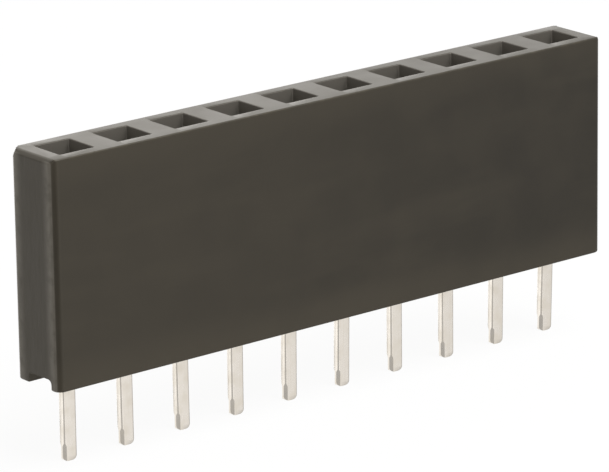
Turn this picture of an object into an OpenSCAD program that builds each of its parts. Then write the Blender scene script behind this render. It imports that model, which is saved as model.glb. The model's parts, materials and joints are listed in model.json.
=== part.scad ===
// Straight single-row female pin header: one moulded housing and one stamped
// contact per position. X runs along the strip, Y across it, Z up.
// The origin is the middle of the strip on the plane where it sits on the board.

/* [Strip] */
// Number of sockets in the row
positions = 10; // [2:1:40]
// Distance from one socket to the next
pitch = 2.54; // [2.4:0.02:5.08]
// Plastic beyond the outermost pitch cell, at each end
end_extra = 0.2; // [0:0.05:1]

/* [Housing] */
// Height of the housing, from the board to its top face
housing_h = 8.5; // [7.5:0.1:12]
// Thickness of the housing, front to back
housing_t = 2.5; // [2.3:0.05:4]
// Radius of the four upright edges
edge_r = 0.3; // [0.1:0.05:0.5]
// Bevel along the upper edge of each end
end_bevel = 0.15; // [0.05:0.01:0.25]
// Socket opening, along the strip
cavity_w = 1.5; // [1.3:0.05:1.8]
// Socket opening, across the strip
cavity_d = 1.5; // [1.35:0.05:1.8]
// Floor under the sockets, which carries the contacts
floor_t = 1.2; // [0.9:0.1:2]
// Width of the front rail that stands on the board
front_rail_w = 0.42; // [0.3:0.02:0.6]
// Width of the back rail that stands on the board
back_rail_w = 0.73; // [0.4:0.01:0.8]
// Height of the open channel between the rails
channel_h = 0.4; // [0.2:0.05:0.8]
// Radius of the channel's upper corners
channel_r = 0.18; // [0.05:0.01:0.3]
// Radius of the rails' lower edges
rail_r = 0.08; // [0.02:0.01:0.15]
// Nick at the upper back corner of the left end: its reach along the strip
nick_l = 0.4; // [0.3:0.01:0.6]
// Reach of the same nick across the strip
nick_w = 0.36; // [0.3:0.01:0.5]
// Reach of the same nick down the edge
nick_h = 0.75; // [0.3:0.05:1.5]

/* [Contact] */
// Thickness of the strip metal
metal_t = 0.3; // [0.2:0.01:0.32]
// Width of the solder tail
tail_w = 0.58; // [0.4:0.01:0.7]
// Reach of the solder tail below the board plane
tail_len = 3.14; // [2.2:0.01:5]
// How far the tails stand behind the middle of the sockets
tail_back = 0.26; // [0.1:0.01:0.42]
// Radius of the tail's lower corners
tip_r = 0.16; // [0.05:0.01:0.19]
// Length of the coined bevels at the tip of the tail
coin_len = 0.8; // [0.45:0.05:1.5]
// Part of that length over which the bevels run out
coin_run = 0.25; // [0.05:0.05:0.4]
// Depth of the coined bevels, square to their faces
coin_depth = 0.075; // [0.02:0.005:0.09]
// Width of the tang that fills the floor slot
tang_w = 0.86; // [0.75:0.01:1]
// How far each retaining barb stands out of the tang
barb_out = 0.04; // [0.01:0.005:0.06]
// Length of a barb, up the tang
barb_l = 0.24; // [0.1:0.02:0.3]
// Step from the foot down to the first barb, and from it to the second
barb_step = 0.34; // [0.3:0.01:0.36]
// Height of the folded foot
foot_h = 1; // [0.6:0.1:1.6]
// Inside radius of the foot's folds
fold_r = 0.05; // [0.02:0.01:0.1]
// Width of each spring leaf, across the strip
leaf_w = 0.6; // [0.4:0.02:0.66]
// Gap between the leaves where they grip the mating pin
throat_gap = 0.46; // [0.3:0.01:0.54]
// Width between the leaves at their flared mouth
mouth_gap = 0.66; // [0.6:0.01:0.7]
// Depth of the flared mouth below the top of the housing
mouth_depth = 1.2; // [0.6:0.1:2]
// Depth of the throat below the flared mouth
throat_depth = 0.75; // [0.5:0.05:1.2]
// Radius of the hollow side of each leaf's bend at the throat
throat_r = 0.1; // [0.04:0.02:0.3]

/* [Fit] */
// Clearance round the tang in its slot
slot_gap = 0.01; // [0.005:0.005:0.05]
// Clearance between the foot and the sides of its socket
foot_gap = 0.08; // [0.02:0.01:0.15]

/* [Hidden] */
$fn = 48;
// Overshoot that lets a cut run clear of a face
eps = 0.05;
strip_l = positions * pitch + 2 * end_extra;
floor_z = channel_h + floor_t;
channel_w = housing_t - front_rail_w - back_rail_w;
channel_y = (front_rail_w - back_rail_w) / 2;
slot_w = tang_w + 2 * (barb_out + slot_gap);
slot_d = metal_t + 2 * slot_gap;
foot_w = cavity_w - 2 * foot_gap;
foot_back = tail_back + metal_t / 2;
fold_out_r = fold_r + metal_t;
// Width of the foot between its folds
flat_w = foot_w - 2 * fold_out_r;
// Back edge of the leaves, where the folds end
leaf_back = foot_back - fold_out_r;
foot_top = floor_z + foot_h;
mouth_z = housing_h - mouth_depth;
throat_z = mouth_z - throat_depth;
// Height of the 45 degree taper from the tang to the tail
taper_l = (tang_w - tail_w) / 2;
// Facets round the bend of a leaf at its throat
leaf_steps = 8;

function contact_name(k) = str("contact_", k < 10 ? "0" : "", k);
function socket_x(k) = (k - (positions + 1) / 2) * pitch;

// ---- Shared shapes ----

// Rectangle w by d about the origin with corners of radius r
module rounded_rect(w, d, r) {
    square([w - 2 * r, d], center = true);
    square([w, d - 2 * r], center = true);
    for (sx = [-1, 1], sy = [-1, 1])
        translate([sx * (w / 2 - r), sy * (d / 2 - r)]) circle(r);
}

// Drawing in X (along the strip) and Y (up), stood upright and given a
// thickness t about the plane y
module upright(y, t) {
    translate([0, y + t / 2, 0]) rotate([90, 0, 0]) linear_extrude(t) children();
}

// ---- Housing ----

// End view of the channel under the floor, open downwards
module channel_section() {
    translate([channel_y, 0]) {
        translate([-channel_w / 2, -eps]) square([channel_w, channel_h - channel_r + eps]);
        translate([-channel_w / 2 + channel_r, -eps]) square([channel_w - 2 * channel_r, channel_h + eps]);
        for (s = [-1, 1])
            translate([s * (channel_w / 2 - channel_r), channel_h - channel_r]) circle(channel_r);
    }
}

// Sharp lower corner of a rail at y, to be cut away so that radius rail_r is left.
// side is -1 where the rail lies towards -Y from the corner, 1 where towards +Y.
module rail_corner(y, side) {
    difference() {
        translate([side > 0 ? y - eps : y - rail_r, -eps]) square([rail_r + eps, rail_r + eps]);
        translate([y + side * rail_r, rail_r]) circle(rail_r);
    }
}

// End view of the housing
module housing_section() {
    difference() {
        translate([-housing_t / 2, 0]) square([housing_t, housing_h]);
        channel_section();
        rail_corner(-housing_t / 2, 1);
        rail_corner(channel_y - channel_w / 2, -1);
        rail_corner(channel_y + channel_w / 2, 1);
        rail_corner(housing_t / 2, -1);
    }
}

// Front view of the housing, with the two upper corners bevelled
module housing_front() {
    end_x = strip_l / 2;
    top_x = end_x - end_bevel;
    bevel_z = housing_h - end_bevel;
    polygon([
        [-end_x, 0], [end_x, 0], [end_x, bevel_z],
        [top_x, housing_h], [-top_x, housing_h], [-end_x, bevel_z]]);
}

// Corner broken off the upper back of the left end, along the plane through
// the three points that lie nick_l, nick_w and nick_h from the sharp corner
module corner_nick() {
    away = [-1 / nick_l, 1 / nick_w, 1 / nick_h];
    side = nick_l + nick_w + nick_h;
    translate([-strip_l / 2 + nick_l, housing_t / 2, housing_h])
        rotate([0, acos(away.z / norm(away)), atan2(away.y, away.x)])
            translate([-side, -side, 0]) cube([2 * side, 2 * side, side]);
}

module housing() {
    color([0.15, 0.145, 0.13]) difference() {
        intersection() {
            linear_extrude(housing_h) rounded_rect(strip_l, housing_t, edge_r);
            translate([-strip_l / 2, 0, 0]) rotate([90, 0, 90]) linear_extrude(strip_l) housing_section();
            upright(0, housing_t) housing_front();
        }
        for (k = [1:positions]) translate([socket_x(k), 0, 0]) {
            translate([-cavity_w / 2, -cavity_d / 2, floor_z]) cube([cavity_w, cavity_d, housing_h]);
            translate([-slot_w / 2, tail_back - slot_d / 2, 0]) cube([slot_w, slot_d, floor_z + eps]);
        }
        corner_nick();
    }
}

// ---- Contact ----

// Flat blank of the tail and the tang: rounded tip, shoulders, two barbs a side
module tang_blank() {
    translate([-tail_w / 2, -tail_len + tip_r]) square([tail_w, tail_len - tip_r + channel_h + taper_l]);
    translate([-tail_w / 2 + tip_r, -tail_len]) square([tail_w - 2 * tip_r, 2 * tip_r]);
    for (s = [-1, 1]) translate([s * (tail_w / 2 - tip_r), -tail_len + tip_r]) circle(tip_r);
    polygon([
        [-tail_w / 2, channel_h], [tail_w / 2, channel_h],
        [tang_w / 2, channel_h + taper_l], [tang_w / 2, floor_z],
        [flat_w / 2, floor_z], [flat_w / 2, foot_top],
        [-flat_w / 2, foot_top], [-flat_w / 2, floor_z],
        [-tang_w / 2, floor_z], [-tang_w / 2, channel_h + taper_l]]);
    for (m = [0, 1], i = [1, 2]) mirror([m, 0]) translate([tang_w / 2, floor_z - i * barb_step])
        polygon([[-eps, 0], [0, 0], [barb_out, barb_l], [-eps, barb_l]]);
}

// Coined bevels on the two left edges of the tail's tip
module coining() {
    tip_z = -tail_len - eps;
    top_z = -tail_len + coin_len;
    for (side = [-1, 1])
        translate([-tail_w / 2, tail_back + side * metal_t / 2, 0])
            rotate([90, 0, atan2(side, -1)]) linear_extrude(metal_t, center = true)
                polygon([
                    [eps, tip_z], [eps, top_z], [0, top_z],
                    [-coin_depth, top_z - coin_run], [-coin_depth, tip_z]]);
}

// Plan of the folded foot: a back plate with two sides folded forward
module foot_plan() {
    translate([-flat_w / 2, foot_back - metal_t]) square([flat_w, metal_t]);
    for (m = [0, 1]) mirror([m, 0]) {
        translate([foot_w / 2 - metal_t, leaf_back - leaf_w]) square([metal_t, leaf_w]);
        translate([foot_w / 2 - fold_out_r, leaf_back]) intersection() {
            difference() {
                circle(fold_out_r);
                circle(fold_r);
            }
            square(fold_out_r);
        }
    }
}

// One side of a leaf, off away from its face towards the pin, as points from
// the foot to the mouth: it leans in to the throat, rounds it and flares out
function leaf_line(off) =
    let (
        foot_x = foot_w / 2 - metal_t,
        mouth_x = mouth_gap / 2,
        throat_x = throat_gap / 2,
        low_a = atan((foot_x - throat_x) / (throat_z - foot_top)),
        high_a = atan((mouth_x - throat_x) / (mouth_z - throat_z)),
        grip_r = throat_r + metal_t,
        bend_x = throat_x + grip_r
    )
    concat(
        [[foot_x + off, foot_top - eps], [foot_x + off, foot_top + off * tan(low_a / 2)]],
        [for (i = [0:leaf_steps])
            let (a = -low_a + (low_a + high_a) * i / leaf_steps, r = grip_r - off)
            [bend_x - r * cos(a), throat_z + r * sin(a)]],
        [[mouth_x + off * cos(high_a), mouth_z - off * sin(high_a)]]
    );

// One leaf, drawn on the +X side
module leaf_section() {
    inner = leaf_line(0);
    outer = leaf_line(metal_t);
    polygon(concat(inner, [for (i = [len(outer) - 1:-1:0]) outer[i]]));
}

module contact(k) {
    color([0.85, 0.83, 0.79]) translate([socket_x(k), 0, 0]) {
        difference() {
            upright(tail_back, metal_t) tang_blank();
            coining();
        }
        translate([0, 0, floor_z]) linear_extrude(foot_h) foot_plan();
        for (m = [0, 1]) mirror([m, 0, 0])
            upright(leaf_back - leaf_w / 2, leaf_w) leaf_section();
    }
}

housing();
for (k = [1:positions]) contact(k);
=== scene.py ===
"""Female pin header strip: a moulded housing with ten square sockets and ten stamped contacts.

Every class keeps its sizes in millimetres. A piece is modelled at one unit to the
millimetre and brought down to metres when it is finished. Axes are the frame's: X along
the strip, Y across it, Z up, with the origin mid strip on the plane of the board.

Faces and edges are picked by place and direction. NEAR, HAIR and CENTRED are how far off
a place may be, and the SQUARE names are the least cosine with an axis that still counts.
"""

import json
import logging
import math
from dataclasses import dataclass, field
from enum import Enum
from typing import Callable

import bmesh
import bpy
from mathutils import Matrix, Vector

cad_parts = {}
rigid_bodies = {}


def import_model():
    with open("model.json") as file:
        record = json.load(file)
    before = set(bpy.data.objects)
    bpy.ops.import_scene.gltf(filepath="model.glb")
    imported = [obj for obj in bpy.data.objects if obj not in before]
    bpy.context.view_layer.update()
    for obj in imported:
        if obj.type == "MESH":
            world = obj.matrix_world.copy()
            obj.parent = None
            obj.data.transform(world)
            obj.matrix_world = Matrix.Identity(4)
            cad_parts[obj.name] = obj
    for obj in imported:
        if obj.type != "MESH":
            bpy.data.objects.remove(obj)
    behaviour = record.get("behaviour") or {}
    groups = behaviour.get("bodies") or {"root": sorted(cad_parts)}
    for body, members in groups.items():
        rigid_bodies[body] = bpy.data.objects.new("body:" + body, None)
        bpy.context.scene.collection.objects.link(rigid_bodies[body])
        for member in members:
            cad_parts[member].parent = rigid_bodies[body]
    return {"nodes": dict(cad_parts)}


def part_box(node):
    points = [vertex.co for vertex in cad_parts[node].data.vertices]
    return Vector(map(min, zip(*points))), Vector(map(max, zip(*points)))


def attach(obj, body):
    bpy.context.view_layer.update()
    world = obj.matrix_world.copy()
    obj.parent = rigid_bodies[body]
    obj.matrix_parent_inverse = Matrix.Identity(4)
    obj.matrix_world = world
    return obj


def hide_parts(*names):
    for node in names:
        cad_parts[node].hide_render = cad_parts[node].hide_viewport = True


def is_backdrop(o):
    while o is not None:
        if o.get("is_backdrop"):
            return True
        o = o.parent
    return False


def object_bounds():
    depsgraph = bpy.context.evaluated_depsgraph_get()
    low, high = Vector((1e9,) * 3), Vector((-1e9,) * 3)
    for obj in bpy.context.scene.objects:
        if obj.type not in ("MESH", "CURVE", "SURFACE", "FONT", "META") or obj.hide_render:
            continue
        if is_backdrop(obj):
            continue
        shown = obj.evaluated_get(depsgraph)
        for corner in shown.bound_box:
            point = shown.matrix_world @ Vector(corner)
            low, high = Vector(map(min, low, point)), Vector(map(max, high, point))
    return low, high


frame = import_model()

LOG = logging.getLogger("header")
MM = 0.001
BODY = "root"
HOUSING_NODE = "housing"
CONTACT_STEM = "contact_"
NEAR = 0.004
HAIR = 0.01
OVERSHOOT = 0.1
CENTRED = 0.05
SQUARE = 0.999
NEARLY_SQUARE = 0.99
ROUGHLY_SQUARE = 0.9
HALF_SQUARE = 0.7
RIGHT_ANGLE = math.radians(90)
BLUE_FALL = 2.6
WHITE = (1.0, 1.0, 1.0, 1.0)

Socket = bpy.types.NodeSocket
Edge = bmesh.types.BMEdge
Pair = tuple[float, float]
Triple = tuple[float, float, float]
Colour = tuple[float, float, float, float]
FaceTest = Callable[[Vector, Vector], bool]
EdgeTest = Callable[[Edge], bool]


class Slot(Enum):
    """The record's material slots."""

    PLASTIC = "housing_plastic"
    METAL = "contact_metal"


class Axis(Enum):
    """Directions of the strip's frame."""

    ALONG = Vector((1, 0, 0))
    ACROSS = Vector((0, 1, 0))
    UP = Vector((0, 0, 1))


def span(node: str) -> tuple[Vector, Vector]:
    """Returns a CAD node's lowest and highest corners, in millimetres.

    Args:
        node: name of the CAD node.

    Returns:
        The two corners.
    """
    low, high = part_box(node)
    return low / MM, high / MM


def contact_names() -> list[str]:
    """Lists the contact nodes in order along the strip."""
    return sorted(name for name in frame["nodes"] if name.startswith(CONTACT_STEM))


# ---- Workbench: picking by place, and one operator at a time ----


def take(piece: bpy.types.Object) -> None:
    """Selects one object, and makes it the active one."""
    bpy.ops.object.select_all(action="DESELECT")
    bpy.context.view_layer.objects.active = piece
    piece.select_set(True)


class Bench:
    """One piece under work, in millimetres, held open in edit mode until it is finished."""

    def __init__(self, name: str, low: Vector, high: Vector) -> None:
        """Starts the piece as a block between two corners.

        Args:
            name: name of the piece.
            low: lowest corner.
            high: highest corner.
        """
        bpy.ops.object.select_all(action="DESELECT")
        bpy.ops.mesh.primitive_cube_add(size=1, location=(low + high) / 2, scale=high - low)
        self.piece = bpy.context.active_object
        self.piece.name = self.piece.data.name = name
        bpy.ops.object.transform_apply(location=True, rotation=False, scale=True)
        bpy.ops.object.mode_set(mode="EDIT")
        bpy.ops.mesh.select_all(action="DESELECT")

    def faces(self, test: FaceTest) -> None:
        """Selects the faces whose centre and normal pass the test, and nothing else.

        Args:
            test: takes a face's centre and its normal.
        """
        self.choose("faces", lambda f: test(f.calc_center_bounds(), f.normal))

    def edges(self, test: EdgeTest) -> None:
        """Selects the edges that pass the test, and nothing else.

        Args:
            test: takes an edge.
        """
        self.choose("edges", test)

    def choose(self, kind: str, test: Callable[[object], bool]) -> None:
        """Selects the "faces" or the "edges" that pass the test, and nothing else."""
        bpy.context.tool_settings.mesh_select_mode = (False, kind == "edges", kind == "faces")
        bpy.ops.mesh.select_all(action="DESELECT")
        sheet = bmesh.from_edit_mesh(self.piece.data)
        sheet.normal_update()
        for part in [part for part in getattr(sheet, kind) if test(part)]:
            part.select_set(True)
        bmesh.update_edit_mesh(self.piece.data)

    def cut(self, where: FaceTest, point: Vector, normal: Vector, clear: bool = False) -> None:
        """Cuts the faces that pass the test along a plane.

        Args:
            where: the faces to cut.
            point: a point of the plane.
            normal: the plane's normal.
            clear: takes away what lies on the normal's side and closes the cut.
        """
        self.faces(where)
        bpy.ops.mesh.bisect(
            plane_co=point, plane_no=normal, use_fill=clear, clear_outer=clear, threshold=1e-5
        )

    def pull(self, step: Vector) -> None:
        """Extrudes the selected faces by a step."""
        bpy.ops.mesh.extrude_region_move(TRANSFORM_OT_translate={"value": step})

    def drop_faces(self) -> None:
        """Deletes the selected faces."""
        bpy.ops.mesh.delete(type="FACE")

    def round_edges(self, radius: float, segments: int) -> None:
        """Rounds the selected edges.

        Args:
            radius: radius of the rounding.
            segments: facets across it.
        """
        bpy.ops.mesh.bevel(offset=radius, segments=segments, profile=0.5, affect="EDGES")

    def face_outwards(self) -> None:
        """Turns all faces outwards."""
        bpy.ops.mesh.select_all(action="SELECT")
        bpy.ops.mesh.normals_make_consistent(inside=False)

    def leave(self) -> bpy.types.Object:
        """Leaves edit mode, with all faces turned outwards."""
        self.face_outwards()
        bpy.ops.object.mode_set(mode="OBJECT")
        return self.piece

    def resume(self) -> None:
        """Goes back to edit mode on this piece alone."""
        take(self.piece)
        bpy.ops.object.mode_set(mode="EDIT")

    def punch(self, die: bpy.types.Object) -> None:
        """Takes the shape of a die out of the piece, out of edit mode, and throws the die away.

        Args:
            die: a closed object that stands where it has to cut.
        """
        take(self.piece)
        stroke = self.piece.modifiers.new("punch", "BOOLEAN")
        stroke.operation = "DIFFERENCE"
        stroke.solver = "EXACT"
        stroke.object = die
        bpy.ops.object.modifier_apply(modifier=stroke.name)
        bpy.ops.object.select_all(action="DESELECT")
        die.select_set(True)
        bpy.ops.object.delete()

    def close(self, smooth_angle: float) -> bpy.types.Object:
        """Cleans the mesh, brings it down to metres and smooths its roundings.

        Args:
            smooth_angle: edges flatter than this, in degrees, are shaded smooth.

        Returns:
            The finished object, at the origin, unturned and unscaled.
        """
        bpy.ops.mesh.select_all(action="SELECT")
        bpy.ops.mesh.remove_doubles(threshold=2e-4)
        self.leave()
        self.piece.scale = (MM, MM, MM)
        bpy.ops.object.transform_apply(location=True, rotation=True, scale=True)
        bpy.ops.object.shade_smooth_by_angle(angle=math.radians(smooth_angle))
        weighted = self.piece.modifiers.new("even shading", "WEIGHTED_NORMAL")
        weighted.keep_sharp = True
        weighted.weight = 60
        bpy.ops.object.modifier_apply(modifier=weighted.name)
        return self.piece


def lies_along(edge: Edge, axis: Axis, at_least: float = 0) -> bool:
    """Says whether an edge runs along an axis.

    Args:
        edge: the edge.
        axis: the direction.
        at_least: the shortest length that counts.

    Returns:
        True if it does.
    """
    run = edge.verts[1].co - edge.verts[0].co
    return run.length > at_least and abs(run.normalized().dot(axis.value)) > SQUARE


def ends_at(edge: Edge, axis: Axis, value: float) -> bool:
    """Says whether both ends of an edge lie at a value along an axis."""
    return all(abs(v.co.dot(axis.value) - value) < NEAR for v in edge.verts)


def is_crease(edge: Edge, degrees: float) -> bool:
    """Says whether the surface turns by more than an angle over an edge."""
    return len(edge.link_faces) == 2 and edge.calc_face_angle(0) > math.radians(degrees)


# ---- Finishes ----


class NodeSheet:
    """The node tree of a material or a world, with short ways to add a node and join its sockets."""

    def __init__(self, owner: bpy.types.ID) -> None:
        """Opens the owner's node tree, and empties it."""
        owner.use_nodes = True
        self.tree = owner.node_tree
        self.tree.nodes.clear()

    def node(self, kind: str, **settings: object) -> bpy.types.Node:
        """Adds a node.

        Args:
            kind: Blender's name for the node type.
            settings: properties set on it.

        Returns:
            The node.
        """
        made = self.tree.nodes.new(kind)
        for key, value in settings.items():
            setattr(made, key, value)
        return made

    def join(self, source: Socket, target: Socket) -> None:
        """Links an output to an input."""
        self.tree.links.new(source, target)

    def feed(self, target: Socket, value: object) -> None:
        """Links a socket to an input, or sets the input to a plain value."""
        if isinstance(value, Socket):
            self.join(value, target)
        else:
            target.default_value = value

    def calc(self, operation: str, first: object, second: object = 0.0) -> Socket:
        """Adds a Math node.

        Args:
            operation: Blender's name of the operation.
            first: first socket or number.
            second: second socket or number.

        Returns:
            The result.
        """
        made = self.node("ShaderNodeMath", operation=operation)
        self.feed(made.inputs[0], first)
        self.feed(made.inputs[1], second)
        return made.outputs[0]

    def band(
        self, value: Socket, low: float, high: float, to_low: float = 0, to_high: float = 1
    ) -> Socket:
        """Maps a value smoothly from one range to another.

        Args:
            value: the value.
            low: where the ramp starts.
            high: where it ends.
            to_low: the result at low.
            to_high: the result at high.

        Returns:
            The mapped value.
        """
        made = self.node("ShaderNodeMapRange", interpolation_type="SMOOTHSTEP")
        self.join(value, made.inputs["Value"])
        for key, number in (("From Min", low), ("From Max", high), ("To Min", to_low), ("To Max", to_high)):
            made.inputs[key].default_value = number
        return made.outputs["Result"]

    def glow(self, kind: str, strength: object, colour: Colour) -> Socket:
        """Adds a node that gives light.

        Args:
            kind: Blender's name for the node type.
            strength: its strength.
            colour: its colour.

        Returns:
            The light.
        """
        made = self.node(kind)
        made.inputs["Color"].default_value = colour
        self.feed(made.inputs["Strength"], strength)
        return made.outputs[0]

    def mix(self, share: Socket, first: Socket, second: Socket) -> Socket:
        """Mixes two surfaces or lights, by the share of the second."""
        made = self.node("ShaderNodeMixShader")
        for source, target in zip((share, first, second), made.inputs):
            self.join(source, target)
        return made.outputs[0]


class ShaderSheet(NodeSheet):
    """The node tree of one finish, on the piece's own coordinates."""

    def __init__(self, name: str) -> None:
        """Opens a new material that has one principled surface."""
        self.material = bpy.data.materials.new(name)
        super().__init__(self.material)
        self.surface = self.node("ShaderNodeBsdfPrincipled")
        output = self.node("ShaderNodeOutputMaterial")
        self.join(self.surface.outputs["BSDF"], output.inputs["Surface"])
        self.place = self.node("ShaderNodeTexCoord").outputs["Object"]

    def stretch(self, scale: Triple) -> Socket:
        """Returns the piece's own coordinates, scaled on each axis."""
        mapping = self.node("ShaderNodeMapping")
        self.join(self.place, mapping.inputs["Vector"])
        mapping.inputs["Scale"].default_value = scale
        return mapping.outputs["Vector"]

    def noise(self, size: float, detail: float = 2, at: Socket | None = None) -> Socket:
        """Adds a noise.

        Args:
            size: width of its features in millimetres, or 0 to take the coordinates as they are.
            detail: how many finer layers it has.
            at: coordinates, if not the piece's own.

        Returns:
            The noise, from 0 to 1.
        """
        made = self.node("ShaderNodeTexNoise")
        self.join(at or self.place, made.inputs["Vector"])
        made.inputs["Scale"].default_value = 1 / (size * MM) if size else 1
        made.inputs["Detail"].default_value = detail
        return made.outputs["Fac"]

    def blend(self, amount: object, first: object, second: object) -> Socket:
        """Mixes two colours.

        Args:
            amount: share of the second colour.
            first: first colour, as a socket or four numbers.
            second: second colour, likewise.

        Returns:
            The mixed colour.
        """
        made = self.node("ShaderNodeMix", data_type="RGBA")
        for target, value in ((0, amount), (6, first), (7, second)):
            self.feed(made.inputs[target], value)
        return made.outputs[2]

    def relief(self, height: Socket, bump: Pair, under: Socket | None = None) -> Socket:
        """Turns a height into surface relief.

        Args:
            height: the height, from 0 to 1.
            bump: what a height of 1 stands for, in millimetres, and the share of it that shows.
            under: relief to lay it over.

        Returns:
            The normal.
        """
        made = self.node("ShaderNodeBump")
        made.inputs["Distance"].default_value = bump[0] * MM
        made.inputs["Strength"].default_value = bump[1]
        self.join(height, made.inputs["Height"])
        if under:
            self.join(under, made.inputs["Normal"])
        return made.outputs["Normal"]


def grey(level: float, warmth: float = 0.0) -> Colour:
    """Returns a grey that leans to brown by a share of its level."""
    return (level, level * (1 - warmth), level * (1 - BLUE_FALL * warmth), 1.0)


@dataclass(frozen=True)
class MouldedPlastic:
    """Black glass-filled moulding compound: satin, finely grained, paler where it is rubbed or cut.

    Painted light is laid into the colour: painted shade towards the right end, a painted lighter band below
    the top and above the bottom, a painted highlight along the upright corners, and painted light on the
    upper walls of the sockets.

    Tones are reflectances, shares run from 0 to 1, and lengths are in millimetres. The top and bottom
    painted glows are each a height and a share, a relief is a depth and a strength, and any other pair is
    where a tone starts and where it is full.
    """

    body: float = 0.0225
    # painted shade: the darker tone the strip fades to at its right end
    shaded_far_body: float = 0.0115
    warmth: float = 0.17
    blotch_size: float = 1.7
    blotch_gain: float = 1.4
    blotch_share: float = 0.3
    flow_stretch: Triple = (160, 2600, 900)
    flow_gain: float = 1.5
    flow_share: float = 0.35
    # painted light: a lighter band below the top and above the bottom
    painted_glow: float = 0.045
    top_painted_glow: Pair = (1.5, 0.3)
    bottom_painted_glow: Pair = (1.7, 0.45)
    cut_body: float = 0.0098
    cut_warmth: float = 0.35
    cut_share: float = 0.8
    cut_skin: Pair = (0.03, 0.012)
    scrape_stretch: Triple = (1500, 2400, 700)
    scrape_gain: float = 0.6
    scrape_share: float = 0.35
    scrape_warmth: float = 0.1
    rubbed: float = 0.055
    rub_width: float = 0.12
    rub_share: float = 0.6
    uneven_size: float = 0.35
    # painted highlight: a pale strip along the rounded upright corners
    painted_highlight: float = 0.086
    painted_highlight_warmth: float = 0.09
    painted_highlight_lap: Pair = (0.4, 0.08)
    painted_highlight_side: Pair = (0.07, 0.14)
    painted_highlight_skin: Pair = (0.065, 0.035)
    # painted light: a paler tone on the upper socket walls
    painted_wall_light: float = 0.15
    painted_wall_warmth: float = 0.07
    painted_wall_skin: Pair = (0.012, 0.003)
    painted_wall_depth: Pair = (1.6, 0.9)
    roughness: float = 0.34
    scrape_roughness: float = 0.14
    rub_polish: float = 0.06
    grain_size: float = 0.09
    grain_relief: Pair = (0.003, 0.6)
    wave_size: float = 2.6
    wave_relief: Pair = (0.012, 0.6)
    scrape_relief: Pair = (0.02, 0.7)
    ior: float = 1.45
    gloss_tint: Colour = (1.0, 0.96, 0.88, 1.0)

    def make(self, housing: "Housing") -> bpy.types.Material:
        """Builds the material for a housing.

        Args:
            housing: the housing, whose edges and sockets the wear, the painted highlight and the painted
                light on the socket walls follow.

        Returns:
            The material.
        """
        high = housing.high
        sheet = ShaderSheet("moulded_black_plastic")
        split = sheet.node("ShaderNodeSeparateXYZ")
        sheet.join(sheet.place, split.inputs[0])
        half_l, half_t, tall = high.x * MM, high.y * MM, high.z * MM
        to_end = sheet.calc("SUBTRACT", half_l, sheet.calc("ABSOLUTE", split.outputs["X"]))
        to_side = sheet.calc("SUBTRACT", half_t, sheet.calc("ABSOLUTE", split.outputs["Y"]))
        to_top = sheet.calc("SUBTRACT", tall, split.outputs["Z"])
        corner = sheet.calc(
            "MINIMUM",
            sheet.calc("ADD", to_end, to_side),
            sheet.calc("MINIMUM", sheet.calc("ADD", to_side, to_top), sheet.calc("ADD", to_end, to_top)),
        )
        blotch = sheet.noise(self.blotch_size, detail=3)
        grain = sheet.noise(self.grain_size, detail=3)
        flow = sheet.noise(0, detail=3, at=sheet.stretch(self.flow_stretch))
        uneven = sheet.noise(self.uneven_size, detail=3)

        rub = sheet.calc(
            "MULTIPLY",
            sheet.band(corner, low=self.rub_width * MM, high=0),
            sheet.band(uneven, low=0.35, high=0.65),
        )
        cut = self.ramp(sheet, to_end, self.cut_skin)
        scrape = sheet.noise(0, detail=4, at=sheet.stretch(self.scrape_stretch))

        # Painted shade: the tone darkens from the left end to the right end.
        tone = sheet.blend(
            sheet.band(split.outputs["X"], low=-half_l, high=half_l),
            grey(self.body, self.warmth),
            grey(self.shaded_far_body, self.warmth),
        )
        (upper_h, upper_share), (lower_h, lower_share) = self.top_painted_glow, self.bottom_painted_glow
        upper = sheet.band(to_top, low=upper_h * MM, high=0, to_high=upper_share)
        lower = sheet.band(split.outputs["Z"], low=lower_h * MM, high=0, to_high=lower_share)
        patchy = sheet.band(blotch, low=0.3, high=0.7, to_high=self.blotch_share)
        streaked = sheet.band(flow, low=0.45, high=0.75, to_high=self.flow_share)
        scraped = sheet.band(scrape, low=0.4, high=0.7, to_high=self.scrape_share)
        corner_highlight = self.corner_highlight(sheet, to_side, to_end, housing.upright_r)
        broken = sheet.band(uneven, low=0.2, high=0.6, to_low=0.5, to_high=1)
        for amount, level, warmth in (
            (patchy, self.body * self.blotch_gain, self.warmth),
            # painted light: lighter below the top and above the bottom
            (sheet.calc("ADD", upper, lower), self.painted_glow, self.warmth),
            (streaked, self.body * self.flow_gain, self.warmth),
            (sheet.calc("MULTIPLY", cut, self.cut_share), self.cut_body, self.cut_warmth),
            (sheet.calc("MULTIPLY", cut, scraped), self.rubbed * self.scrape_gain, self.scrape_warmth),
            (sheet.calc("MULTIPLY", rub, self.rub_share), self.rubbed, self.warmth),
            # painted highlight along the upright corners
            (sheet.calc("MULTIPLY", corner_highlight, broken), self.painted_highlight, self.painted_highlight_warmth),
            # painted light on the upper socket walls
            (self.inside(sheet, split, housing), self.painted_wall_light, self.painted_wall_warmth),
        ):
            tone = sheet.blend(amount, tone, grey(level, warmth))
        sheet.join(tone, sheet.surface.inputs["Base Color"])

        smooth, coarse = self.roughness - 0.03, self.roughness + 0.04
        rough = sheet.band(blotch, low=0.25, high=0.75, to_low=smooth, to_high=coarse)
        torn = sheet.band(scrape, low=0.35, high=0.7, to_high=self.scrape_roughness)
        rough = sheet.calc("ADD", rough, sheet.calc("MULTIPLY", cut, torn))
        rough = sheet.calc("SUBTRACT", rough, sheet.calc("MULTIPLY", rub, self.rub_polish))
        sheet.join(rough, sheet.surface.inputs["Roughness"])

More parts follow.
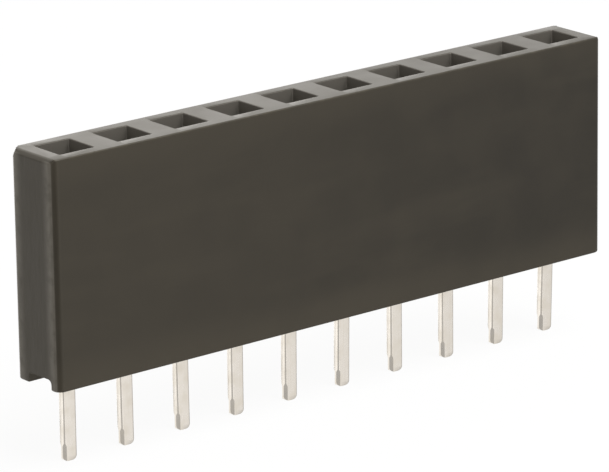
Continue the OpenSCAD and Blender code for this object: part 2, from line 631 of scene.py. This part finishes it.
        normal = sheet.relief(grain, self.grain_relief)
        normal = sheet.relief(sheet.noise(self.wave_size, detail=1), self.wave_relief, normal)
        normal = sheet.relief(sheet.calc("MULTIPLY", cut, scrape), self.scrape_relief, normal)
        sheet.join(normal, sheet.surface.inputs["Normal"])
        sheet.surface.inputs["IOR"].default_value = self.ior
        sheet.surface.inputs["Specular Tint"].default_value = self.gloss_tint
        return sheet.material

    def ramp(self, sheet: ShaderSheet, distance: Socket, pair: Pair) -> Socket:
        """Ramps from 0 to 1 between two distances, which are in millimetres."""
        return sheet.band(distance, low=pair[0] * MM, high=pair[1] * MM)

    def corner_highlight(self, sheet: ShaderSheet, to_side: Socket, to_end: Socket, upright_r: float) -> Socket:
        """Finds the strip along the upright corners on which a highlight is painted, paler than the body.

        Args:
            sheet: the material.
            to_side: distance to the nearer side face.
            to_end: distance to the nearer end face.
            upright_r: radius of the upright corners.

        Returns:
            1 on the strip, 0 elsewhere.
        """
        out, back = self.painted_highlight_lap
        strip = sheet.calc(
            "MULTIPLY",
            self.ramp(sheet, to_side, (upright_r + out, upright_r - back)),
            self.ramp(sheet, to_side, self.painted_highlight_side),
        )
        return sheet.calc("MULTIPLY", strip, self.ramp(sheet, to_end, self.painted_highlight_skin))

    def inside(self, sheet: ShaderSheet, split: bpy.types.Node, housing: "Housing") -> Socket:
        """Finds the upper walls of the sockets, where light is painted as a paler tone.

        Args:
            sheet: the material.
            split: node that gives the piece's coordinates one by one.
            housing: the housing.

        Returns:
            1 on those walls, 0 elsewhere.
        """
        pitch = (housing.sockets[1] - housing.sockets[0]) * MM
        shifted = sheet.calc("SUBTRACT", split.outputs["X"], housing.sockets[0] * MM)
        along = sheet.calc("PINGPONG", shifted, pitch / 2)
        beyond_x = sheet.calc("SUBTRACT", along, housing.cavity_w / 2 * MM)
        across = sheet.calc("ABSOLUTE", split.outputs["Y"])
        beyond_y = sheet.calc("SUBTRACT", across, housing.cavity_d / 2 * MM)
        out = sheet.calc("MAXIMUM", beyond_x, beyond_y)
        depth = sheet.calc("SUBTRACT", housing.high.z * MM, split.outputs["Z"])
        walls = self.ramp(sheet, out, self.painted_wall_skin)
        return sheet.calc("MULTIPLY", walls, self.ramp(sheet, depth, self.painted_wall_depth))


@dataclass(frozen=True)
class TinPlate:
    """Tin plated strip: pale, faintly warm, with fine drawing lines along the tail.

    Sizes are in millimetres, and a relief is a depth and a strength.
    """

    plate: Colour = (0.868, 0.83, 0.787, 1.0)
    dull: Colour = (0.72, 0.67, 0.59, 1.0)
    mottle_size: float = 0.5
    mottle_share: float = 0.5
    line_stretch: Triple = (16000, 16000, 500)
    line_share: float = 0.4
    line_relief: Pair = (0.0015, 0.5)
    pit_size: float = 0.06
    pit_relief: Pair = (0.0012, 0.5)
    roughness: float = 0.3

    def make(self) -> bpy.types.Material:
        """Builds the material."""
        sheet = ShaderSheet("tin_plate")
        mottle = sheet.noise(self.mottle_size, detail=3)
        lines = sheet.noise(0, detail=3, at=sheet.stretch(self.line_stretch))
        pits = sheet.noise(self.pit_size, detail=2)
        dulled = sheet.band(mottle, low=0.35, high=0.75, to_high=self.mottle_share)
        tone = sheet.blend(dulled, self.plate, self.dull)
        drawn = sheet.band(lines, low=0.5, high=0.8, to_high=self.line_share)
        tone = sheet.blend(drawn, tone, self.dull)
        sheet.join(tone, sheet.surface.inputs["Base Color"])
        sheet.surface.inputs["Metallic"].default_value = 1.0
        smooth, coarse = self.roughness - 0.05, self.roughness + 0.08
        rough = sheet.band(mottle, low=0.3, high=0.7, to_low=smooth, to_high=coarse)
        sheet.join(rough, sheet.surface.inputs["Roughness"])
        normal = sheet.relief(lines, self.line_relief)
        normal = sheet.relief(pits, self.pit_relief, normal)
        sheet.join(normal, sheet.surface.inputs["Normal"])
        return sheet.material


# ---- Housing ----


@dataclass
class Housing:
    """The moulded insulator: ten sockets, a floor with slots, and two rails with a channel between."""

    low: Vector
    high: Vector
    sockets: list[float]
    upright_r: float = 0.3
    end_bevel: float = 0.15
    cavity_w: float = 1.5
    cavity_d: float = 1.5
    floor_t: float = 1.2
    front_rail_w: float = 0.42
    back_rail_w: float = 0.73
    channel_h: float = 0.4
    channel_r: float = 0.18
    rail_r: float = 0.07
    slot_w: float = 0.96
    slot_d: float = 0.32
    slot_y: float = 0.26
    top_r: float = 0.06
    mouth_r: float = 0.035
    inner_r: float = 0.05
    nick: Vector = field(default_factory=lambda: Vector((0.4, 0.36, 0.75)))

    def __post_init__(self) -> None:
        """Works out the heights and the channel's walls."""
        self.floor_z = self.channel_h + self.floor_t
        self.channel_front = self.low.y + self.front_rail_w
        self.channel_back = self.high.y - self.back_rail_w
        self.bench: Bench

    def build(self) -> bpy.types.Object:
        """Models the housing.

        Returns:
            The finished object.
        """
        self.bench = Bench("socket_housing", self.low, self.high)
        self.round_uprights()
        self.bevel_ends()
        self.open_channel()
        self.sink_sockets()
        self.pierce_slots()
        self.soften_edges()
        self.keep_bevels_crisp()
        self.break_corner()
        return self.bench.close(smooth_angle=50)

    def round_uprights(self) -> None:
        """Rounds the four upright corners."""
        self.bench.edges(lambda e: lies_along(e, Axis.UP, at_least=1))
        self.bench.round_edges(self.upright_r, segments=8)

    def bevel_ends(self) -> None:
        """Bevels the upper edge of each end."""
        for side, end_x in ((-1, self.low.x), (1, self.high.x)):
            point = Vector((end_x - side * self.end_bevel, 0, self.high.z))
            self.bench.cut(lambda c, n: True, point, Vector((side, 0, 1)).normalized(), clear=True)

    def in_channel(self, y: float) -> bool:
        """Says whether a place across the strip lies between the rails."""
        return self.channel_front < y < self.channel_back

    def open_channel(self) -> None:
        """Cuts the channel between the rails from end to end, and rounds its upper corners."""
        bench = self.bench
        for y in (self.channel_front, self.channel_back):
            bench.cut(
                lambda c, n: n.z < -ROUGHLY_SQUARE or abs(n.x) > SQUARE, Vector((0, y, 0)), Axis.ACROSS.value
            )
        bench.cut(
            lambda c, n: abs(n.x) > SQUARE and self.in_channel(c.y),
            Vector((0, 0, self.channel_h)),
            Axis.UP.value,
        )
        bench.faces(lambda c, n: self.in_channel(c.y) and c.z < self.channel_h)
        bench.drop_faces()
        bench.edges(lambda e: e.is_boundary and not lies_along(e, Axis.ALONG))
        bpy.ops.mesh.bridge_edge_loops()
        bench.edges(lambda e: lies_along(e, Axis.ALONG, at_least=1) and ends_at(e, Axis.UP, self.channel_h))
        bench.round_edges(self.channel_r, segments=5)
        bench.edges(lambda e: ends_at(e, Axis.UP, self.low.z))
        bench.round_edges(self.rail_r, segments=3)

    def grid(self, where: FaceTest, half_x: float, low_y: float, high_y: float) -> None:
        """Marks one rectangle per socket on the faces that pass the test.

        Args:
            where: the faces to mark.
            half_x: half the rectangle's length along the strip.
            low_y: its front edge.
            high_y: its back edge.
        """
        for y in (low_y, high_y):
            self.bench.cut(where, Vector((0, y, 0)), Axis.ACROSS.value)
        for x in self.sockets:
            for edge in (x - half_x, x + half_x):
                self.bench.cut(where, Vector((edge, 0, 0)), Axis.ALONG.value)

    def at_socket(self, c: Vector, y: float) -> bool:
        """Says whether a face's centre lies over a socket's middle, at a place across the strip."""
        return abs(c.y - y) < CENTRED and any(abs(c.x - x) < CENTRED for x in self.sockets)

    def sink_sockets(self) -> None:
        """Sinks the ten square sockets from the top face down to the floor."""
        top, half = self.high.z, self.cavity_d / 2

        def on_top(c: Vector, n: Vector) -> bool:
            """Says whether a face is level and lies in the top face."""
            return n.z > SQUARE and c.z > top - NEAR

        self.grid(on_top, self.cavity_w / 2, -half, half)
        self.bench.faces(lambda c, n: on_top(c, n) and self.at_socket(c, 0))
        self.bench.pull(Vector((0, 0, self.floor_z - top)))

    def pierce_slots(self) -> None:
        """Punches one slot per contact through the floor, into the channel.

        This comes before any rim is rounded, because a punch drops points from rounded rims and
        leaves the mesh open there.
        """
        front, back = self.slot_y - self.slot_d / 2, self.slot_y + self.slot_d / 2
        self.bench.leave()
        for x in self.sockets:
            die = Bench(
                "slot_die",
                Vector((x - self.slot_w / 2, front, self.low.z - OVERSHOOT)),
                Vector((x + self.slot_w / 2, back, self.floor_z + OVERSHOOT)),
            )
            self.bench.punch(die.leave())
        self.bench.resume()

    def soften_edges(self) -> None:
        """Rounds the sockets' corners and mouths, and the rim of the top face."""
        bench, top = self.bench, self.high.z
        inside = self.cavity_d / 2 + NEAR
        bench.edges(lambda e: lies_along(e, Axis.UP, at_least=5) and abs(e.verts[0].co.y) < inside)
        bench.round_edges(self.inner_r, segments=2)
        rim = self.cavity_d / 2 + OVERSHOOT
        reach = max(self.sockets) + self.cavity_w / 2 + OVERSHOOT

        def on_top(e: Edge, depth: float = 0) -> bool:
            """Says whether an edge is sharp and lies on the top face, or within a depth below it."""
            return is_crease(e, degrees=30) and all(v.co.z > top - depth - NEAR for v in e.verts)

        def outside(e: Edge) -> bool:
            """Says whether an edge lies on the outline, beyond the sockets."""
            middle = (e.verts[0].co + e.verts[1].co) / 2
            return abs(middle.y) > rim or abs(middle.x) > reach

        bench.edges(lambda e: on_top(e) and not outside(e))
        bench.round_edges(self.mouth_r, segments=2)
        bench.edges(lambda e: on_top(e, self.end_bevel) and outside(e))
        bench.round_edges(self.top_r, segments=3)

    def keep_bevels_crisp(self) -> None:
        """Cuts the end bevels' flats into plain strips, and keeps their upper borders sharp."""
        straight = self.high.y - self.upright_r - HAIR
        for y in (-straight, straight):
            self.bench.cut(
                lambda c, n: abs(n.x) > HALF_SQUARE and n.z > HALF_SQUARE,
                Vector((0, y, 0)),
                Axis.ACROSS.value,
            )
        rim_z = self.high.z - self.top_r / math.sqrt(2)
        self.bench.edges(lambda e: lies_along(e, Axis.ACROSS) and ends_at(e, Axis.UP, rim_z))
        bpy.ops.mesh.mark_sharp()

    def break_corner(self) -> None:
        """Breaks off the left end's upper back corner, and roughens the break inside its outline."""
        away = Vector((-1 / self.nick.x, 1 / self.nick.y, 1 / self.nick.z)).normalized()
        point = Vector((self.low.x + self.nick.x, self.high.y, self.high.z))
        self.bench.cut(lambda c, n: True, point, away, clear=True)
        self.bench.faces(lambda c, n: n.dot(away) > SQUARE)
        bpy.ops.mesh.poke()
        bpy.ops.mesh.subdivide(number_cuts=3, smoothness=0)
        self.bench.faces(lambda c, n: n.dot(away) > NEARLY_SQUARE)
        bpy.ops.mesh.region_to_loop()
        bpy.ops.mesh.mark_sharp()
        self.bench.faces(lambda c, n: n.dot(away) > NEARLY_SQUARE)
        bpy.ops.mesh.select_less()
        bpy.ops.transform.vertex_random(offset=0.03, uniform=0.3, normal=0.8, seed=4)

    def dress(self, finish: MouldedPlastic) -> None:
        """Gives the housing its plastic, and hands it to the frame.

        Args:
            finish: the plastic.
        """
        piece = self.bench.piece
        piece.data.materials.append(finish.make(self))
        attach(piece, BODY)
        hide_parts(HOUSING_NODE)


# ---- Contact ----


@dataclass
class Contact:
    """One stamped contact: tail, tang with barbs, folded foot and two spring leaves."""

    low: Vector
    high: Vector
    foot_w: float = 1.34
    metal_t: float = 0.3
    tail_w: float = 0.58
    tail_y: float = 0.26
    tip_r: float = 0.16
    coin_len: float = 0.8
    coin_run: float = 0.25
    coin_depth: float = 0.075
    tang_w: float = 0.86
    barb_out: float = 0.04
    barb_l: float = 0.24
    barb_step: float = 0.34
    channel_h: float = 0.4
    floor_z: float = 1.6
    foot_h: float = 1.0
    fold_r: float = 0.05
    leaf_w: float = 0.6
    throat_gap: float = 0.46
    mouth_gap: float = 0.66
    throat_depth: float = 0.75
    throat_r: float = 0.1
    rolled_r: float = 0.075
    sheared_r: float = 0.03
    bend_steps: int = 6

    def __post_init__(self) -> None:
        """Works out the middle of the contact, its folds and its heights."""
        self.x = (self.low.x + self.high.x) / 2
        self.foot_back = self.tail_y + self.metal_t / 2
        self.fold_out = self.fold_r + self.metal_t
        self.leaf_back = self.foot_back - self.fold_out
        self.foot_top = self.floor_z + self.foot_h
        self.bench: Bench

    def build(self) -> bpy.types.Object:
        """Models the contact from the flat of its foot outwards.

        Returns:
            The finished object.
        """
        half = self.foot_w / 2 - self.fold_out
        self.bench = Bench(
            "socket_contact",
            Vector((self.x - half, self.foot_back - self.metal_t, self.floor_z)),
            Vector((self.x + half, self.foot_back, self.foot_top)),
        )
        self.draw_tail(2 * half)
        for side in (-1, 1):
            self.fold_side(side, half)
        self.raise_leaves()
        self.coin_tip()
        self.roll_edges()
        return self.bench.close(smooth_angle=40)

    def draw_tail(self, flat_w: float) -> None:
        """Draws the tang, its barbs and the tail down from the foot, one width at a time.

        Args:
            flat_w: width of the foot's flat.
        """
        bench, middle = self.bench, self.x
        wide = self.tang_w + 2 * self.barb_out
        levels = [(self.floor_z - 2 * HAIR, self.tang_w)]
        for row in (1, 2):
            foot_of_barb = self.floor_z - row * self.barb_step
            crest = foot_of_barb + self.barb_l
            levels += [(crest + HAIR, self.tang_w), (crest, wide), (foot_of_barb, self.tang_w)]
        levels += [
            (self.channel_h + (self.tang_w - self.tail_w) / 2, self.tang_w),
            (self.channel_h, self.tail_w),
        ]
        for step in range(self.bend_steps + 1):
            turn = RIGHT_ANGLE * step / self.bend_steps
            levels.append((
                self.low.z + self.tip_r * (1 - math.sin(turn)),
                self.tail_w - 2 * self.tip_r * (1 - math.cos(turn)),
            ))
        z, width = self.floor_z, flat_w
        bench.faces(lambda c, n: n.z < -SQUARE)
        for next_z, next_w in levels:
            bench.pull(Vector((0, 0, next_z - z)))
            bpy.ops.transform.resize(
                value=(next_w / width, 1, 1), center_override=(middle, self.tail_y, next_z)
            )
            z, width = next_z, next_w

    def fold_side(self, side: int, half: float) -> None:
        """Folds one side of the foot forward.

        Args:
            side: -1 for the side towards -X, 1 for the other.
            half: half the width of the foot's flat.
        """
        hinge = Vector((self.x + side * half, self.leaf_back, 0))
        self.bench.faces(
            lambda c, n: abs(c.x - hinge.x) < NEAR and n.x * side > SQUARE and c.z > self.floor_z
        )
        bpy.ops.mesh.spin(steps=5, angle=RIGHT_ANGLE * side, center=hinge, axis=Axis.UP.value)
        self.bench.pull(Vector((0, -self.leaf_w, 0)))
        self.bench.face_outwards()

    def leaf_path(self) -> list[Pair]:
        """Lists the steps of a leaf's inner face, from the foot to the mouth.

        Returns:
            Distances from the middle of the contact, with their heights.
        """
        start, throat, mouth = self.foot_w / 2 - self.metal_t, self.throat_gap / 2, self.mouth_gap / 2
        throat_z, mouth_z = self.high.z - self.throat_depth, self.high.z
        low_a = math.atan((start - throat) / (throat_z - self.foot_top))
        high_a = math.atan((mouth - throat) / (mouth_z - throat_z))
        bend_r = self.throat_r + self.metal_t
        turns = [-low_a + (low_a + high_a) * i / self.bend_steps for i in range(self.bend_steps + 1)]
        path = [(throat + bend_r * (1 - math.cos(a)), throat_z + bend_r * math.sin(a)) for a in turns]
        return path + [(mouth, mouth_z)]

    def raise_leaves(self) -> None:
        """Raises both leaves: in to the throat, round it, and out to the flared mouth."""
        start = self.foot_w / 2 - self.metal_t
        middle_y = self.leaf_back - self.leaf_w / 2
        for side in (-1, 1):
            self.bench.faces(
                lambda c, n: n.z > SQUARE and (c.x - self.x) * side > start and abs(c.y - middle_y) < HAIR
            )
            x, z = start, self.foot_top
            for next_x, next_z in self.leaf_path():
                self.bench.pull(Vector((side * (next_x - x), 0, next_z - z)))
                x, z = next_x, next_z

    def roll_edges(self) -> None:
        """Rolls the tail's long edges over, and breaks those of the foot and the leaves."""

        def lies(e: Edge, low: float, high: float) -> bool:
            """Says whether an edge is sharp and lies between two heights."""
            return is_crease(e, degrees=60) and all(low - NEAR < v.co.z < high + NEAR for v in e.verts)

        def tail_foot(e: Edge) -> float:
            """Returns the height from which an edge is rolled: on the left side, the flats' upper end."""
            left = min(v.co.x for v in e.verts) < self.x
            return self.low.z + (self.coin_len if left else 0)

        self.bench.edges(lambda e: lies(e, tail_foot(e), self.channel_h))
        self.bench.round_edges(self.rolled_r, segments=4)
        self.bench.edges(lambda e: lies(e, self.floor_z, self.high.z))
        self.bench.round_edges(self.sheared_r, segments=2)

    def coin_tip(self) -> None:
        """Presses a flat on each of the tip's two left edges, which runs out up the tail."""
        self.bench.leave()
        for side in (-1, 1):
            die = Bench(
                "coining_die",
                Vector((-self.coin_depth, -self.metal_t / 2, -2 * self.coin_len)),
                Vector((self.coin_depth, self.metal_t / 2, self.coin_depth)),
            )
            up_slope = Vector((-self.coin_run, 0, self.coin_depth)).normalized()
            die.cut(lambda c, n: True, Vector((0, 0, 0)), up_slope, clear=True)
            block = die.leave()
            block.rotation_euler.z = math.atan2(side, -1)
            block.location = (
                self.x - self.tail_w / 2,
                self.tail_y + side * self.metal_t / 2,
                self.low.z + self.coin_len,
            )
            self.bench.punch(block)
        self.bench.resume()


@dataclass
class ContactRow:
    """The row of contacts: one is modelled, and the rest are copies with their own meshes."""

    nodes: list[str]
    slant: tuple[float, ...] = (-0.3, 0.2, 0.4, -0.2, -0.7, -1.1, -0.3, -0.2, -1.0, -1.8)
    plane_z: float = 0.4

    def build(self, finish: TinPlate) -> list[bpy.types.Object]:
        """Models the first contact and copies it along the row.

        Args:
            finish: the plating.

        Returns:
            The contacts, in order.
        """
        low, high = span(self.nodes[0])
        first = Contact(low, high)
        master = first.build()
        master.data.materials.append(finish.make())
        row = []
        for index, node in enumerate(self.nodes):
            low, high = span(node)
            step = ((low.x + high.x) / 2 - first.x) * MM
            piece = master if index == 0 else self.copy(master, step)
            row.append(piece)
        for piece, node, degrees in zip(row, self.nodes, self.slant):
            self.bend(piece, node, degrees)
            piece.name = "socket_" + node
            piece.data.name = piece.name
            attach(piece, BODY)
            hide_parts(node)
        return row

    def copy(self, master: bpy.types.Object, step: float) -> bpy.types.Object:
        """Copies the first contact to another place on the row.

        Args:
            master: the first contact.
            step: how far along the strip, in metres.

        Returns:
            The copy, with its place in its own mesh.
        """
        take(master)
        bpy.ops.object.duplicate(linked=False)
        made = bpy.context.active_object
        bpy.ops.transform.translate(value=(step, 0, 0))
        bpy.ops.object.transform_apply(location=True, rotation=False, scale=False)
        return made

    def bend(self, piece: bpy.types.Object, node: str, degrees: float) -> None:
        """Leans a tail a little along the strip, as handling leaves it.

        Args:
            piece: the contact.
            node: its CAD node.
            degrees: the lean.
        """
        low, high = span(node)
        pivot = Vector(((low.x + high.x) / 2, 0, self.plane_z)) * MM
        take(piece)
        bpy.ops.object.mode_set(mode="EDIT")
        bpy.context.tool_settings.mesh_select_mode = (True, False, False)
        bpy.ops.mesh.select_all(action="DESELECT")
        sheet = bmesh.from_edit_mesh(piece.data)
        for v in sheet.verts:
            v.select_set(v.co.z < pivot.z - NEAR * MM)
        bmesh.update_edit_mesh(piece.data)
        bpy.ops.transform.rotate(
            value=math.radians(degrees), orient_axis="Y", orient_type="GLOBAL", center_override=pivot
        )
        bpy.ops.object.mode_set(mode="OBJECT")


# ---- Studio ----


@dataclass(frozen=True)
class Patch:
    """A soft-edged patch of the sweep, brighter or dimmer than the rest.

    The sizes are degrees from its middle: the level holds within inner and is gone at outer.
    """

    towards: Triple
    inner: float
    outer: float
    level: float


@dataclass(frozen=True)
class Studio:
    """White sweep with soft light: bright to the left and behind the strip, dim behind the camera.

    The camera's distance and aim are in millimetres, and its angles in degrees. The lamp, the
    floor and the clipping distances are in metres.
    """

    azimuth: float = -39.04
    elevation: float = 16.68
    roll: float = -0.85
    distance: float = 178.34
    aim: Triple = (-0.676, 0.0, 3.071)
    lens: float = 287.9
    sensor: float = 36.0
    clip: Pair = (0.005, 20.0)
    key_place: Triple = (0.08, -0.2, 0.4)
    key_size: float = 0.35
    key_power: float = 1.9
    paper: Colour = (0.9, 0.9, 0.9, 1.0)
    floor_size: float = 3.0
    floor_glow: float = 0.93
    ambient: float = 0.57
    tint: Colour = (1.0, 0.978, 0.935, 1.0)
    patches: tuple[Patch, ...] = (
        Patch(towards=(-0.6, -0.75, -0.3), inner=18, outer=46, level=0.45),
        Patch(towards=(-0.85, 0.42, -0.29), inner=5, outer=20, level=1.5),
        Patch(towards=(-0.6, 0.74, -0.29), inner=8, outer=26, level=0.98),
        Patch(towards=(-0.45, 0.75, 0.35), inner=12, outer=30, level=0.75),
        Patch(towards=(0.2, 0.92, 0.3), inner=12, outer=50, level=1.97),
        Patch(towards=(0.95, 0.25, 0.15), inner=20, outer=44, level=0.7),
        Patch(towards=(0.5, 0.86, -0.02), inner=4, outer=16, level=1.4),
        Patch(towards=(0.85, -0.25, -0.55), inner=12, outer=52, level=0.5),
        Patch(towards=(0.6, -0.75, -0.29), inner=20, outer=45, level=1.25),
    )

    def back(self) -> Vector:
        """Returns the direction from the strip to the camera."""
        az, el = math.radians(self.azimuth), math.radians(self.elevation)
        return Vector((math.sin(az) * math.cos(el), -math.cos(az) * math.cos(el), math.sin(el)))

    def place_camera(self) -> None:
        """Places the camera."""
        back = self.back()
        right = (-back).cross(Axis.UP.value).normalized()
        up = right.cross(-back)
        roll = math.radians(self.roll)
        turned = right * math.cos(roll) + up * math.sin(roll)
        upright = up * math.cos(roll) - right * math.sin(roll)
        spot = (Vector(self.aim) + back * self.distance) * MM
        bpy.ops.object.camera_add()
        camera = bpy.context.active_object
        camera.matrix_world = Matrix(
            [[turned[i], upright[i], back[i], spot[i]] for i in range(3)] + [[0, 0, 0, 1]]
        )
        camera.data.lens = self.lens
        camera.data.sensor_width = self.sensor
        camera.data.clip_start, camera.data.clip_end = self.clip
        bpy.context.scene.camera = camera

    def lay_floor(self, z: float) -> None:
        """Lays the pale floor that the tails stand on.

        Args:
            z: its height, in metres.
        """
        bpy.ops.object.select_all(action="DESELECT")
        bpy.ops.mesh.primitive_plane_add(size=self.floor_size, location=(0, 0, z))
        floor = bpy.context.active_object
        floor.name = "studio_floor"
        material = bpy.data.materials.new("pale_paper")
        sheet = NodeSheet(material)
        rays = sheet.node("ShaderNodeLightPath").outputs
        paper = sheet.node("ShaderNodeBsdfDiffuse")
        paper.inputs["Color"].default_value = self.paper
        glow = sheet.glow("ShaderNodeEmission", 1.0, WHITE)
        clear = sheet.node("ShaderNodeBsdfTransparent")
        seen = sheet.calc("MULTIPLY", rays["Is Camera Ray"], self.floor_glow)
        lit = sheet.mix(seen, paper.outputs[0], glow)
        mirrored = sheet.mix(rays["Is Glossy Ray"], lit, clear.outputs[0])
        sheet.join(mirrored, sheet.node("ShaderNodeOutputMaterial").inputs["Surface"])
        floor.data.materials.append(material)
        floor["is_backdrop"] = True

    def hang_sweep(self) -> None:
        """Surrounds the strip with the white sweep that its gloss shows."""
        world = bpy.data.worlds.new("white_sweep")
        bpy.context.scene.world = world
        sheet = NodeSheet(world)
        direction = sheet.node("ShaderNodeTexCoord").outputs["Generated"]

        def factor(patch: Patch) -> Socket:
            """Makes a factor that goes from 1 to the patch's level round its middle."""
            dot = sheet.node("ShaderNodeVectorMath", operation="DOT_PRODUCT")
            sheet.join(direction, dot.inputs[0])
            dot.inputs[1].default_value = Vector(patch.towards).normalized()
            outer, inner = (math.cos(math.radians(angle)) for angle in (patch.outer, patch.inner))
            return sheet.band(dot.outputs["Value"], low=outer, high=inner, to_low=1, to_high=patch.level)

        level = factor(self.patches[0])
        for patch in self.patches[1:]:
            level = sheet.calc("MULTIPLY", level, factor(patch))
        mirror, soft, white = (
            sheet.glow("ShaderNodeBackground", strength, colour)
            for strength, colour in ((level, self.tint), (self.ambient, self.tint), (1.0, WHITE))
        )
        rays = sheet.node("ShaderNodeLightPath").outputs
        shiny = sheet.calc("MAXIMUM", rays["Is Glossy Ray"], rays["Is Transmission Ray"])
        lit = sheet.mix(rays["Is Camera Ray"], sheet.mix(shiny, soft, mirror), white)
        sheet.join(lit, sheet.node("ShaderNodeOutputWorld").inputs["Surface"])

    def hang_lamp(self) -> None:
        """Hangs a square soft lamp that faces the strip."""
        place = Vector(self.key_place)
        bpy.ops.object.light_add(type="AREA", location=place)
        lamp = bpy.context.active_object
        lamp.name = "key_softbox"
        lamp.rotation_euler = (-place).to_track_quat("-Z", "Y").to_euler()
        lamp.data.size = self.key_size
        lamp.data.energy = self.key_power

    def build(self, floor_z: float) -> None:
        """Sets up the whole studio.

        Args:
            floor_z: height of the floor, in metres.
        """
        bpy.context.scene.view_settings.view_transform = "Standard"
        self.hang_sweep()
        self.lay_floor(floor_z)
        self.hang_lamp()
        self.place_camera()


def main() -> None:
    """Builds the strip and its studio, and reports each piece."""
    logging.basicConfig(level=logging.INFO, format="%(name)s: %(message)s")
    cad_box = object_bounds()
    names = contact_names()
    sockets = [(span(n)[0].x + span(n)[1].x) / 2 for n in names]

    housing = Housing(*span(HOUSING_NODE), sockets)
    piece = housing.build()
    housing.dress(MouldedPlastic())
    LOG.info("%s: %d faces", piece.name, len(piece.data.polygons))

    for contact in ContactRow(names).build(TinPlate()):
        LOG.info("%s: %d faces", contact.name, len(contact.data.polygons))

    Studio().build(cad_box[0][2])


if __name__ == "__main__":
    main()
